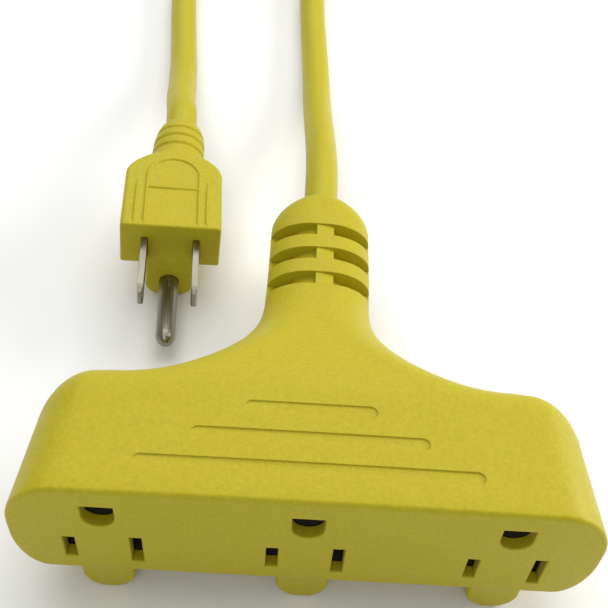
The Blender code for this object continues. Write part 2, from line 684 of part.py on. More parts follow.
def ground_boss():
    """The part of the plug body below the blades, which the ground pin comes out of."""
    inner = BOSS_HALF_WIDTH - BOSS_CORNER
    right = arc((inner, BOSS_BOTTOM + BOSS_CORNER), BOSS_CORNER, -90, 0, 4)
    outline = right + [(BOSS_HALF_WIDTH, 0.0), (-BOSS_HALF_WIDTH, 0.0)] + [(-a, b) for a, b in reversed(right)]
    raised = [(a, min(b + 10.5, 0.0)) for a, b in outline]
    return loft([[(a, y, b) for a, b in o] for o, y in ((outline, 0.2), (outline, 17.0), (raised, 33.0))])


def plug_overmould():
    body = new_object("plug_overmould", *loft(plug_sections()), "yellow_pvc")
    combine(body, "UNION", new_object("cut_boss", *ground_boss()))
    for k, (x, z) in enumerate((((-10.3, 10.3), (-3.9, 5.6)), ((-4.3, 4.3), (-14.6, -3.0)))):
        cut(body, new_object(f"cut_plug_hollow_{k + 1}", *box(x, (2.0, 17.0), z)))
    rings = [((-10.3, 10.3), (-3.9, 5.6), 16.8), ((-4.2, 4.2), (-3.2, 5.2), 27.5)]
    funnel = [[(x[0], y, z[0]), (x[1], y, z[0]), (x[1], y, z[1]), (x[0], y, z[1])] for x, z, y in rings]
    cut(body, new_object("cut_plug_funnel", *loft(funnel)))
    rings = [((-4.3, 4.3), (-14.6, 0.0), 16.8), ((-4.2, 4.2), (-6.0, 0.0), 29.0)]
    funnel = [[(x[0], y, z[0]), (x[1], y, z[0]), (x[1], y, z[1]), (x[0], y, z[1])] for x, z, y in rings]
    cut(body, new_object("cut_plug_ground_funnel", *loft(funnel)))
    cut(body, new_object("cut_plug_bore", *leaning_tube(26.0, PLUG_LENGTH + 2, BORE_RADIUS, 24)))
    openings = []
    for x in (-SLOT_OFFSET, SLOT_OFFSET):
        wide, tall = BLADE_THICKNESS / 2 + GAP, BLADE_HEIGHT / 2 + GAP
        openings.append(box((x - wide, x + wide), (-1.0, 3.0), (-tall, tall)))
    pin = [(-1.0, GROUND_PIN_RADIUS + GAP), (3.0, GROUND_PIN_RADIUS + GAP)]
    openings.append(turned_along_y(pin, 0.0, GROUND_PIN_Z))
    cut(body, new_object("cut_plug_face", *join_solids(openings)))


def plug_bridge():
    """The insert that holds the two blades and the ground pin in line."""
    outline = [(4.0, -14.3), (4.0, -3.6), (10.0, -3.6), (10.0, 5.3)]
    outline += [(-a, b) for a, b in reversed(outline)]
    bridge = new_object("plug_bridge", *prism_along_y(outline, BRIDGE_FRONT, BRIDGE_REAR), "dark_nylon")
    openings = []
    for x in (-SLOT_OFFSET, SLOT_OFFSET):
        wide, tall = BLADE_THICKNESS / 2 + GAP, BLADE_HEIGHT / 2 + GAP
        openings.append(box((x - wide, x + wide), (0.0, 12.0), (-tall, tall)))
    openings.append(turned_along_y([(0.0, GROUND_PIN_RADIUS + GAP), (12.0, GROUND_PIN_RADIUS + GAP)], 0.0, GROUND_PIN_Z))
    cut(bridge, new_object("cut_bridge", *join_solids(openings)))


def blade(name, x):
    """A flat blade with a tapered tip and a hole near it."""
    tip, half = -BLADE_LENGTH, BLADE_HEIGHT / 2
    thin = BLADE_THICKNESS / 2
    sections = [(tip, thin * 0.45, half - 1.2), (tip + 0.8, thin * 0.8, half - 0.4), (tip + 1.8, thin, half)]
    sections.append((BLADE_REAR, thin, half))
    rings = [[(x - a, y, -b), (x + a, y, -b), (x + a, y, b), (x - a, y, b)] for y, a, b in sections]
    made = new_object(name, *loft(rings), "nickel")
    turns = [2 * math.pi * k / 16 for k in range(16)]
    ring = [(BLADE_HOLE_RADIUS * math.cos(t) - BLADE_HOLE_AT, BLADE_HOLE_RADIUS * math.sin(t)) for t in turns]
    hole = loft([[(s, y, z) for y, z in ring] for s in (x - 2, x + 2)])
    cut(made, new_object(f"cut_{name}", *hole))


def ground_pin():
    """A pin of folded strip: round outside, a groove along the top, a round tip."""
    tip = -GROUND_PIN_LENGTH
    radius = GROUND_PIN_RADIUS
    profile = []
    for k in range(1, 6):
        angle = math.pi / 2 * k / 5
        profile.append((tip + radius * 1.3 * (1 - math.cos(angle)), radius * math.sin(angle)))
    profile.append((BLADE_REAR, radius))
    pin = new_object("ground_pin", *turned_along_y(profile, 0.0, GROUND_PIN_Z, 20), "nickel")
    top = GROUND_PIN_Z + radius
    width = (-PIN_GROOVE_WIDTH / 2, PIN_GROOVE_WIDTH / 2)
    groove = box(width, (tip + 3.4, -1.5), (top - PIN_GROOVE_DEPTH, top + 1))
    cut(pin, new_object("cut_ground_pin", *groove))


def plug_wiring():
    places = {"hot": (-SLOT_OFFSET, 0.0), "neutral": (SLOT_OFFSET, 0.0), "ground": (0.0, GROUND_PIN_Z)}
    jacket_start = 30.0
    start = BLADE_REAR + GAP
    for pole, (x, z) in places.items():
        crimp(f"{pole}_crimp_plug", x, start, z, "brass")
        side, up = LAID[pole]
        up = -2.2 if pole == "ground" else -up
        first = start + CRIMP_LENGTH + 2 * GAP
        last = jacket_start - 2 * GAP
        middle = ((x + side) / 2, (first + last) / 2, (z + COLLAR_Z + up) / 2)
        points = [(x, first, z), (x, first + 2.0, z), middle]
        points += [(side, last - 2.0, COLLAR_Z + up), (side, last, COLLAR_Z + up)]
        tube(f"{pole}_conductor_plug", points, CONDUCTOR_RADIUS, INSULATION[pole], 1.6)
    jacket = leaning_tube(jacket_start, PLUG_LENGTH, CORD_RADIUS, 20)
    new_object("cord_jacket_in_plug", *jacket, "yellow_pvc")


def plug_turn():
    turn = Euler((math.radians(-PLUG_PITCH), math.radians(PLUG_ROLL), math.radians(PLUG_YAW)), "YXZ")
    return turn.to_matrix()


def plug_height():
    """Height of the plug's own origin that rests the lowest point of its ground boss on the floor."""
    turn = plug_turn()
    inner = BOSS_HALF_WIDTH - BOSS_CORNER
    centres = [turn @ Vector((s * inner, y, BOSS_BOTTOM + BOSS_CORNER)) for s in (-1, 1) for y in (0.2, 17.0)]
    return BOSS_CORNER + 0.2 - min(c.z for c in centres)


def place_plug(before):
    """Parents everything that was made since before to an empty that lays the plug on the floor."""
    rest = bpy.data.objects.new("plug_rest", None)
    bpy.context.scene.collection.objects.link(rest)
    spot = metres((*PLUG_AT, plug_height()))
    rest.matrix_world = Matrix.Translation(spot) @ plug_turn().to_4x4()
    for thing in list(bpy.data.objects):
        if thing.name not in before and thing != rest:
            thing.parent = rest


def plug():
    before = {thing.name for thing in bpy.data.objects}
    plug_overmould()
    plug_bridge()
    blade("hot_blade", -SLOT_OFFSET)
    blade("neutral_blade", SLOT_OFFSET)
    ground_pin()
    plug_wiring()
    place_plug(before)


# ---- cord ----

# From the block's neck: down to the floor, back past the block, then round to the front of the hank
BLOCK_CORD = [
    (1.0, 50.8, 19.0),
    (1.1, 62.0, 18.4),
    (0.8, 76.0, 15.9),
    (0.2, 90.0, 12.2),
    (-0.4, 105.0, 8.6),
    (-0.9, 120.0, 6.2),
    (-1.5, 136.0, 5.0),
    (-2.4, 152.0, 4.6),
    (-3.1, 166.0, 4.5),
    (-3.5, 177.0, 4.5),
    (-3.2, 188.0, 4.5),
    (-0.2, 199.5, 4.8),
    (5.2, 210.4, 5.3),
    (12.2, 220.2, 5.7),
    (18.4, 227.4, 6.0),
]
# From the plug's collar: down to the floor, then up beside the hank to its second row
PLUG_CORD = [
    (-41.5, 98.0, 13.2),
    (-42.4, 108.0, 10.2),
    (-43.4, 118.0, 7.6),
    (-44.4, 128.0, 5.8),
    (-45.8, 140.0, 4.8),
    (-47.6, 155.0, 4.5),
    (-49.2, 169.0, 4.5),
    (-50.3, 183.0, 4.5),
    (-50.7, 195.0, 4.5),
    (-50.6, 207.0, 4.7),
    (-50.3, 220.0, 6.0),
    (-49.5, 232.0, 8.4),
    (-48.4, 243.0, 11.0),
    (-47.4, 251.0, 12.7),
]


def plug_point(x, y, z):
    spot = plug_turn() @ Vector((x, y, z))
    return (spot.x + PLUG_AT[0], spot.y + PLUG_AT[1], spot.z + plug_height())


def hank_outline():
    """The dog-bone outline of the hank, out to the surface of its outer turns."""
    centre_x, centre_y = HANK_NEAR_CENTRE
    middle_y = centre_y + HANK_HALF_RUN
    outside = (HANK_COLUMNS - 1) * TURN_PITCH + CORD_RADIUS
    loop, waist, run = HANK_LOOP_RADIUS, HANK_WAIST, HANK_HALF_RUN
    waist_radius = (waist**2 + run**2 - loop**2) / (2 * (loop - waist))
    reach = math.degrees(math.atan2(run, waist + waist_radius))
    side = waist + waist_radius
    far = arc((centre_x, middle_y + run), loop + outside, -reach, 180 + reach, 22)
    left = arc((centre_x - side, middle_y), waist_radius - outside, reach, -reach, 8)
    near = arc((centre_x, middle_y - run), loop + outside, 180 - reach, 360 + reach, 22)
    right = arc((centre_x + side, middle_y), waist_radius - outside, 180 + reach, 180 - reach, 8)
    return far[:-1] + left[:-1] + near[:-1] + right[:-1]


def cord():
    tube("cord_block_end", BLOCK_CORD, CORD_RADIUS, "yellow_pvc", 11.0, 3)
    lead = [plug_point(COLLAR_LEAN, PLUG_LENGTH + 2 * GAP + s, COLLAR_Z) for s in (0.0, 8.0)]
    tube("cord_plug_end", lead + PLUG_CORD, CORD_RADIUS, "yellow_pvc", 11.0, 3)
    height = 2 * CORD_RADIUS + (HANK_ROWS - 1) * ROW_PITCH
    hank = prism_up(hank_outline(), HANK_BOTTOM, HANK_BOTTOM + height)
    new_object("cord_hank", *hank, "yellow_pvc")
    hank_tie(height)


def rounded_rectangle(x, z, radius):
    """An (x, z) outline from its lowest and highest x and z, with round corners."""
    outline = []
    for cx, cz, first in ((x[1], z[1], 0), (x[0], z[1], 90), (x[0], z[0], 180), (x[1], z[0], 270)):
        centre = (cx + (radius if cx == x[0] else -radius), cz + (radius if cz == z[0] else -radius))
        outline += arc(centre, radius, first, first + 90, 4)
    return outline


def hank_tie(height):
    """A strap round the hank's waist."""
    centre_x, centre_y = HANK_NEAR_CENTRE
    middle_y = centre_y + HANK_HALF_RUN
    inner = HANK_WAIST + (HANK_COLUMNS - 1) * TURN_PITCH + CORD_RADIUS + TIE_SLACK
    outer = inner + TIE_THICKNESS
    low, high = HANK_BOTTOM - GAP, HANK_BOTTOM + height + GAP
    depth = (middle_y - TIE_WIDTH / 2, middle_y + TIE_WIDTH / 2)
    around = ((centre_x - outer, centre_x + outer), (low - TIE_THICKNESS, high + TIE_THICKNESS))
    band = rounded_rectangle(*around, TIE_THICKNESS + 1.0)
    strap = new_object("hank_tie", *prism_along_y(band, *depth), "black_webbing")
    hole = rounded_rectangle((centre_x - inner, centre_x + inner), (low, high), 1.0)
    cut(strap, new_object("cut_hank_tie", *prism_along_y(hole, depth[0] - 5, depth[1] + 5)))


def main():
    clear_scene()
    block_overmould()
    contact_carrier()
    carrier_cover()
    block_contacts()
    block_wiring()
    plug()
    cord()


main()
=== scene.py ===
"""The looks of a three-outlet extension cord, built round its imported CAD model.

Lengths here are millimetres, and metres(...) turns them into Blender's metres at the last moment.
"""

import math

import bmesh
import bpy
from mathutils import Euler, Matrix, Vector


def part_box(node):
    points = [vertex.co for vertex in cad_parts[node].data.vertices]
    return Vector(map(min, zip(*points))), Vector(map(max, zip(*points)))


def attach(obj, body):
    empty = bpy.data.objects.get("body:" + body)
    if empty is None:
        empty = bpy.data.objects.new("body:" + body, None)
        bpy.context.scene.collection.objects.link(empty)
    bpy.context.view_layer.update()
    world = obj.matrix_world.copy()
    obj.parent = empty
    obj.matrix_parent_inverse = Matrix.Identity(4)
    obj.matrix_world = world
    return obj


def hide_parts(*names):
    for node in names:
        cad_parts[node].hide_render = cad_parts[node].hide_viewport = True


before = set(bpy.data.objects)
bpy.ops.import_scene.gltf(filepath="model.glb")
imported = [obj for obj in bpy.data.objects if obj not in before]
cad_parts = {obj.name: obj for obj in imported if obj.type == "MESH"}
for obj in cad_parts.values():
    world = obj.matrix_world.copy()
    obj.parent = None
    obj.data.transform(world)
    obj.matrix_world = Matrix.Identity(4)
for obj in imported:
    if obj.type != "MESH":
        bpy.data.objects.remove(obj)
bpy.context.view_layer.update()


def metres(point):
    return Vector(point) * 0.001


def corners(node):
    """A node's lowest and highest corners in millimetres."""
    low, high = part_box(node)
    return Vector(low) * 1000, Vector(high) * 1000


# ---- camera ----

CAMERA_AT = (-7.01, -137.22, 182.13)
CAMERA_TURN = -1.806  # degrees round the vertical
CAMERA_ABOVE = 47.296  # degrees above the floor
CAMERA_ROLL = 4.856
CAMERA_LENS = 55.892
SENSOR_WIDTH = 36.0


def camera():
    turn, above, roll = (math.radians(a) for a in (CAMERA_TURN, CAMERA_ABOVE, CAMERA_ROLL))
    back = Vector((math.sin(turn) * math.cos(above), -math.cos(turn) * math.cos(above), math.sin(above)))
    level = (-back).cross(Vector((0, 0, 1))).normalized()
    upright = level.cross(-back)
    right = level * math.cos(roll) + upright * math.sin(roll)
    up = upright * math.cos(roll) - level * math.sin(roll)
    made = bpy.data.objects.new("camera", bpy.data.cameras.new("camera"))
    bpy.context.scene.collection.objects.link(made)
    made.data.lens = CAMERA_LENS
    made.data.sensor_width = SENSOR_WIDTH
    made.data.clip_start = 0.01
    made.data.clip_end = 20.0
    turned = Matrix((right, up, back)).transposed().to_4x4()
    made.matrix_world = Matrix.Translation(metres(CAMERA_AT)) @ turned
    bpy.context.scene.camera = made


camera()

# ---- sizes ----

# The block's own y starts at its outlet face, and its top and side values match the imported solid.
block_low, block_high = corners("block_overmould")
FRONT_Y = block_low.y
DOME_END = block_high.y - block_low.y
BLOCK_HALF_WIDTH = 56.0
SIDE_TAPER = 0.085  # how fast the ends close in towards the rear
BODY_BOTTOM = 7.6
BODY_TOP = 36.0
ARM_DEPTH = 31.0
TOP_EDGE_RADIUS = 7.5  # long edges of the body
BOTTOM_EDGE_RADIUS = 6.5
END_RISE = 12.3  # the two ends are rounded this far up and down
END_REACH = 10.4  # and their tops this far in
CORNER_RADIUS = 11.5  # rear corners, seen from above
FACE_ROUND = 0.9  # round between the outlet face and the sides
CROWN = 0.6  # how much the top bulges
NECK_HALF_WIDTH = 12.2
NECK_HALF_HEIGHT = 7.3
NECK_Z = 19.0
NECK_FLAT = 1.5  # half-width of the neck's flat top
DOME_FLAT = 0.3  # and of what is left of it where the cord leaves
NECK_LEAN = 1.0  # the flexible neck sets a little to one side
LEAN_FROM = 35.0
LEAN_TO = 75.0
FLARE_END = 62.0  # where the shoulders have become the neck
SHOULDER = [(40.0, 31.2), (22.0, 31.2), (NECK_HALF_WIDTH + 0.4, 44.0), (NECK_HALF_WIDTH, FLARE_END)]
SLOPE_START = 24.0  # where the top begins to fall towards the neck
SLOPE_END = 64.0
DOME_START = 87.0
CORD_EXIT_RADIUS = 5.2

OUTLET_SPACING = 38.5
OUTLET_X = [k * OUTLET_SPACING for k in (-1, 0, 1)]
SLOT_Z = 16.0
SLOT_OFFSET = 6.35  # half the distance between the two blades
SLOT_WIDTH = 2.3
HOT_SLOT_HEIGHT = 7.2
NEUTRAL_SLOT_HEIGHT = 9.0
GROUND_ABOVE_SLOTS = 11.3
GROUND_HOLE_RADIUS = 3.05
GROUND_HOLE_TOP = 3.6  # flat top above the arc's centre
LEAD_IN = 0.2  # rounded lip of each opening
SKIN = 2.5  # wall behind the outlet face and behind the plug's

RIB_RADIUS = 5.2
RIB_CENTRE_Z = 5.0
RIB_TOP = 12.0  # inside the body
RIB_END = 28.0
RIB_TAIL = 7.0  # length of the sloping rear end
RIB_TAIL_RISE = 0.5367  # share of its height that the rear end loses
RIB_TAIL_NARROW = 0.35
RIB_ROUND = 0.8
RIB_SETBACK = 0.05  # of its front end from the outlet face

GRIP_BARS = [(7.2, 32.2), (13.9, 22.4), (20.5, 12.7)]  # distance from the face, half-length
GRIP_BAR_WIDTH = 2.7
GRIP_BAR_DEPTH = 0.3
GRIP_BAR_SOFT = 0.25  # round between a bar's floor and its wall
GRIP_BAR_X = -0.5

WINDOW_STARTS = [63.8, 72.0, 80.2]
WINDOW_LENGTH = 3.9
WINDOW_FLOOR = (7.4, 5.25)  # half-width and half-height of the core under the windows
TOP_SPINE = 2.1
SPINE_DROP = 0.4  # of the spine below the rings that cross it
WINDOW_TWIST = -9.0  # degrees round the neck
SIDE_SPINE = 1.7
LEFT_SPINE_SHIFT = -2.4  # the left side spine sets lower than the right one

CAVITY_HALF_WIDTH = 48.5
CAVITY_BOTTOM = 9.9
CAVITY_TOP = 33.2
CAVITY_REAR = 26.4
FUNNEL_RADIUS = 9.4
FUNNEL_END = 40.0

CORD_DIAMETER = 8.6
CORD_RADIUS = CORD_DIAMETER / 2
BORE_RADIUS = CORD_RADIUS + 0.3
SHARPEST = 32  # degrees; a shell's steeper edges are shaded sharp

# The plug's own frame: origin between the blades on its face, y towards the cord. It rests on its boss.
PLUG_AT = (-36.06, 30.96)
PLUG_YAW = 4.7
PLUG_PITCH = 0.8
PLUG_ROLL = 4.1
PLUG_CLEARANCE = 0.2  # between its boss and the floor
PLUG_HALF_WIDTH = 12.3
PLUG_TOP = 7.4
PLUG_BOTTOM = -5.3
PLUG_EDGE = 1.1
PLUG_LOW_EDGE = 0.45  # the lower edges are this much sharper
PLUG_FACE_ROUND = 0.5
PLUG_SLIT = 0.1  # flat that is left between two full rounds
PLUG_STRAIGHT = 20.5
PLUG_SHOULDER_END = 31.0
PLUG_SHOULDER_POWERS = (1.7, 2.5)  # how late its width and its height turn into the collar's
PLUG_LENGTH = 46.5
COLLAR_Z = 1.0
COLLAR_HALF_WIDTH = 7.0
COLLAR_HALF_HEIGHT = 6.2
COLLAR_DOME_START = 37.0
COLLAR_DOME_DEPTH = 10.0
COLLAR_DOME_DROP = (2.8, 2.0)  # what the dome would lose in half-width and half-height
COLLAR_LEAN = 0.9  # the collar sets a little to one side
GROOVES = 3
FIRST_GROOVE = 34.0
RIDGE_PITCH = 3.8
GROOVE_DEPTH = 0.6
GROOVE_HALF_WIDTH = 0.8
BOSS_HALF_WIDTH = 5.9
BOSS_BOTTOM = -16.5
BOSS_CORNER = 3.0
BOSS_START = 0.2  # behind the plug's face
BOSS_LENGTH = 17.0  # of its full height
BOSS_TAIL = 16.0  # and of its slope into the plug
BOSS_TAIL_RISE = 10.5
PANEL_HALF_WIDTH = 6.6  # thumb panel on the plug's top
PANEL_START = 0.6
PANEL_ARCH_START = 19.2
PANEL_ARCH_RISE = 7.0
PANEL_BAR_Y = 14.4
SIDE_LINE_X = (-9.0, 8.7)
BEAD_WIDTH = 1.0
BEAD_HEIGHT = 0.38
BEAD_ROOT = 0.3  # how deep a bead starts under the surface
BLADE_THICKNESS = 1.5
BLADE_HEIGHT = 6.35
GROUND_PIN_Z = -11.9
GROUND_PIN_RADIUS = 2.38
FIT = 0.06  # the plug's skin grips the metal

HANK_NEAR_CENTRE = (0.0, 278.0)
HANK_HALF_RUN = 72.5  # from the tie to the centre of either loop
HANK_LOOP_RADIUS = 27.0
HANK_WAIST = 4.8  # from the tie's middle to the centre of the innermost turn
TURN_PITCH = 8.8
ROW_PITCH = 8.75
HANK_BOTTOM = 1.8


# ---- building blocks ----


def link(thing):
    bpy.context.scene.collection.objects.link(thing)
    return thing


def new_object(name, points, faces, finish=None):
    mesh = bpy.data.meshes.new(name)
    mesh.from_pydata([metres(p) for p in points], [], faces)
    mesh.validate()
    shape = bmesh.new()
    shape.from_mesh(mesh)
    bmesh.ops.recalc_face_normals(shape, faces=shape.faces)
    shape.to_mesh(mesh)
    shape.free()
    thing = link(bpy.data.objects.new(name, mesh))
    if finish:
        mesh.materials.append(finish)
    return thing


def shade(thing):
    thing.data.shade_smooth()
    thing.data.set_sharp_from_angle(angle=math.radians(SHARPEST))


def apply_modifiers(thing):
    graph = bpy.context.evaluated_depsgraph_get()
    mesh = bpy.data.meshes.new_from_object(thing.evaluated_get(graph))
    thing.modifiers.clear()
    old = thing.data
    thing.data = mesh
    mesh.name = thing.name
    bpy.data.meshes.remove(old)


def boolean(thing, operation, solid):
    """Joins or cuts with one solid, given as points and faces."""
    tool = new_object("tool", *solid)
    step = thing.modifiers.new("step", "BOOLEAN")
    step.operation = operation
    step.solver = "EXACT"
    step.object = tool
    apply_modifiers(thing)
    mesh = tool.data
    bpy.data.objects.remove(tool)
    bpy.data.meshes.remove(mesh)


def cut(thing, solid):
    boolean(thing, "DIFFERENCE", solid)


def join_solids(solids):
    points, faces = [], []
    for some_points, some_faces in solids:
        first = len(points)
        points += some_points
        faces += [tuple(first + k for k in face) for face in some_faces]
    return points, faces


def box(x, y, z):
    points = [(x[i], y[j], z[k]) for i in (0, 1) for j in (0, 1) for k in (0, 1)]
    faces = [(0, 1, 3, 2), (4, 6, 7, 5), (0, 4, 5, 1), (2, 3, 7, 6), (0, 2, 6, 4), (1, 5, 7, 3)]
    return points, faces


def rectangle(x, y, wide, tall):
    """Corners anticlockwise round (x, y), given half the width and half the height."""
    return [(x + i * wide, y + j * tall) for i, j in ((-1, -1), (1, -1), (1, 1), (-1, 1))]


def loft(loops):
    """A closed solid through loops of points that all have the same length."""
    count = len(loops[0])
    points = [p for loop in loops for p in loop]
    faces = [tuple(range(count)), tuple(reversed(range(len(points) - count, len(points))))]
    for row in range(len(loops) - 1):
        for k in range(count):
            after = (k + 1) % count
            a, b = row * count, (row + 1) * count
            faces.append((a + k, b + k, b + after, a + after))
    return points, faces


def arc(centre, radius, start, end, steps):
    turns = [math.radians(start + (end - start) * k / steps) for k in range(steps + 1)]
    return [(centre[0] + radius * math.cos(t), centre[1] + radius * math.sin(t)) for t in turns]


def quarter_turn(steps):
    return [math.radians(90 * k / steps) for k in range(steps + 1)]


def turned_along_y(profile, x, z, sides=48):
    turns = [2 * math.pi * k / sides for k in range(sides)]
    return loft([[(x + r * math.cos(t), y, z + r * math.sin(t)) for t in turns] for y, r in profile])


def smooth_step(value, start, end):
    t = min(1.0, max(0.0, (value - start) / (end - start)))
    return t * t * (3 - 2 * t)


def bezier(points, steps):
    """Points after the first on a Bezier curve, each with the normal on its right."""
    a, b, c, d = (Vector(p) for p in points)
    found = []
    for k in range(1, steps + 1):
        t = k / steps
        s = 1 - t
        at = a * s**3 + b * 3 * s * s * t + c * 3 * s * t * t + d * t**3
        along = ((b - a) * s * s + (c - b) * 2 * s * t + (d - c) * t * t).normalized()
        found.append((at, Vector((along.y, -along.x))))
    return found


# ---- materials ----


class Finish:
    """A Principled material whose detail comes from object coordinates."""

    def __init__(self, name, colour, roughness, metallic=0.0):
        self.material = bpy.data.materials.new(name)
        self.material.use_nodes = True
        self.tree = self.material.node_tree
        self.shader = self.tree.nodes["Principled BSDF"]
        self.shader.inputs["Base Color"].default_value = (*colour, 1.0)
        self.shader.inputs["Roughness"].default_value = roughness
        self.shader.inputs["Metallic"].default_value = metallic
        self.where = self.node("ShaderNodeTexCoord").outputs["Object"]

    def node(self, kind, **values):
        made = self.tree.nodes.new(kind)
        for key, value in values.items():
            setattr(made, key, value)
        return made

    def join(self, output, target):
        self.tree.links.new(output, target)

    def noise(self, scale, detail=3.0, roughness=0.5, stretch=(1, 1, 1)):
        mapping = self.node("ShaderNodeMapping")
        mapping.inputs["Scale"].default_value = stretch
        self.join(self.where, mapping.inputs["Vector"])
        made = self.node("ShaderNodeTexNoise")
        made.inputs["Scale"].default_value = scale
        made.inputs["Detail"].default_value = detail
        made.inputs["Roughness"].default_value = roughness
        self.join(mapping.outputs["Vector"], made.inputs["Vector"])
        return made.outputs["Fac"]

    def spread(self, source, low, high):
        """Source's middle range, stretched to run from low to high."""
        made = self.node("ShaderNodeMapRange")
        made.inputs["From Min"].default_value = 0.3
        made.inputs["From Max"].default_value = 0.7
        made.inputs["To Min"].default_value = low
        made.inputs["To Max"].default_value = high
        self.join(source, made.inputs["Value"])
        return made.outputs["Result"]

    def tint(self, source, first, second):
        ramp = self.node("ShaderNodeValToRGB")
        ramp.color_ramp.elements[0].position = 0.3
        ramp.color_ramp.elements[1].position = 0.7
        ramp.color_ramp.elements[0].color = (*first, 1.0)
        ramp.color_ramp.elements[1].color = (*second, 1.0)
        self.join(source, ramp.inputs["Fac"])
        self.join(ramp.outputs["Color"], self.shader.inputs["Base Color"])

    def bump(self, layers, edge=0.0):
        """Stacks bumps of (height source, strength, distance in millimetres) over softened edges."""
        normal = None
        if edge:
            soft = self.node("ShaderNodeBevel", samples=8)
            soft.inputs["Radius"].default_value = edge * 0.001
            normal = soft.outputs["Normal"]
        for source, strength, distance in layers:
            made = self.node("ShaderNodeBump")
            made.inputs["Strength"].default_value = strength
            made.inputs["Distance"].default_value = distance * 0.001
            self.join(source, made.inputs["Height"])
            if normal:
                self.join(normal, made.inputs["Normal"])
            normal = made.outputs["Normal"]
        self.join(normal, self.shader.inputs["Normal"])


PVC_YELLOW = (0.475, 0.405, 0.012)


def moulded_pvc(name, grain_strength, roughness, edge):
    """Soft yellow PVC with a fine spark-eroded grain from its mould."""
    made = Finish(name, PVC_YELLOW, roughness)
    grain = made.noise(1250.0, 2.0, 0.6)
    darker = tuple(c * 0.925 for c in PVC_YELLOW)
    lighter = tuple(c * 1.06 for c in PVC_YELLOW)
    made.tint(grain, darker, lighter)
    patches = made.spread(made.noise(160.0, 2.0), roughness - 0.05, roughness + 0.06)
    made.join(patches, made.shader.inputs["Roughness"])
    made.shader.inputs["IOR"].default_value = 1.45
    made.shader.inputs["Specular IOR Level"].default_value = 0.26
    made.shader.inputs["Sheen Weight"].default_value = 0.06
    made.shader.inputs["Sheen Roughness"].default_value = 0.4
    made.shader.inputs["Subsurface Weight"].default_value = 0.08
    made.shader.inputs["Subsurface Radius"].default_value = (0.9, 0.7, 0.1)
    made.shader.inputs["Subsurface Scale"].default_value = 0.001
    ripple = made.noise(110.0, 2.0)
    made.bump([(ripple, 0.25, 0.12), (grain, grain_strength, 0.08)], edge)
    return made.material


def plated(name, colour, roughness):
    """Nickel-plated brass with fine lengthwise draw marks."""
    made = Finish(name, colour, roughness, 1.0)
    marks = made.noise(900.0, 3.0, 0.6, (1.0, 0.05, 1.0))
    made.join(made.spread(marks, roughness * 0.75, roughness * 1.4), made.shader.inputs["Roughness"])
    made.tint(made.noise(300.0, 3.0), tuple(c * 0.9 for c in colour), colour)
    made.bump([(marks, 0.15, 0.02)], 0.15)
    return made.material


def plain(name, colour, roughness, metallic=0.0, grain=900.0):
    """Hidden or small pieces: an even colour with a slight grain."""
    made = Finish(name, colour, roughness, metallic)
    made.tint(made.noise(200.0), tuple(c * 0.85 for c in colour), colour)
    made.bump([(made.noise(grain), 0.2, 0.03)])
    return made.material


def webbing():
    """Woven black strap: two sets of ribs across each other."""
    made = Finish("woven_strap", (0.012, 0.012, 0.013), 0.75)
    ribs = []
    for direction in ("X", "Y"):
        wave = made.node("ShaderNodeTexWave", bands_direction=direction)
        wave.inputs["Scale"].default_value = 260.0
        made.join(made.where, wave.inputs["Vector"])
        ribs.append((wave.outputs["Fac"], 0.6, 0.25))
    made.tint(made.noise(700.0), (0.010, 0.010, 0.011), (0.022, 0.022, 0.024))
    made.bump(ribs)
    return made.material


BODY_PVC = moulded_pvc("moulded_pvc", 0.8, 0.48, 0.35)
CORD_PVC = moulded_pvc("cord_pvc", 0.35, 0.44, 0.0)
PLATED = plated("nickel_plate", (0.28, 0.265, 0.21), 0.3)
BRASS = plated("contact_brass", (0.62, 0.44, 0.17), 0.33)
INSERT = plain("insert_nylon", (0.045, 0.040, 0.030), 0.5)
DARK_NYLON = plain("dark_nylon", (0.03, 0.03, 0.03), 0.5)
BLACK = plain("black_insulation", (0.02, 0.02, 0.02), 0.45)
WHITE = plain("white_insulation", (0.75, 0.75, 0.72), 0.45)
GREEN = plain("green_insulation", (0.02, 0.25, 0.07), 0.45)
WEBBING = webbing()


# ---- cord ----

CORD_START = (NECK_LEAN, 41.0, NECK_Z)  # inside the neck
BLOCK_CORD = [
    (1.0, 50.8, 19.0),
    (1.1, 62.0, 18.4),
    (0.8, 76.0, 15.9),
    (0.2, 90.0, 12.2),
    (-0.4, 105.0, 8.6),
    (-0.9, 120.0, 6.2),
    (-1.5, 136.0, 5.0),
    (-2.4, 152.0, 4.6),
    (-3.1, 166.0, 4.5),
    (-3.5, 177.0, 4.5),
    (-3.2, 188.0, 4.5),
    (-0.2, 199.5, 4.8),
    (5.2, 210.4, 5.3),
    (12.2, 220.2, 5.7),
    (18.4, 227.4, 6.0),
]
PLUG_CORD = [
    (-41.5, 98.0, 13.2),
    (-42.4, 108.0, 10.2),
    (-43.4, 118.0, 7.6),
    (-44.4, 128.0, 5.8),
    (-45.8, 140.0, 4.8),
    (-47.6, 155.0, 4.5),
    (-49.2, 169.0, 4.5),
    (-50.3, 183.0, 4.5),
    (-50.7, 195.0, 4.5),
    (-50.6, 207.0, 4.7),
    (-50.3, 220.0, 6.0),
    (-49.5, 232.0, 8.4),
    (-48.4, 243.0, 11.0),
    (-47.4, 251.0, 12.7),
]
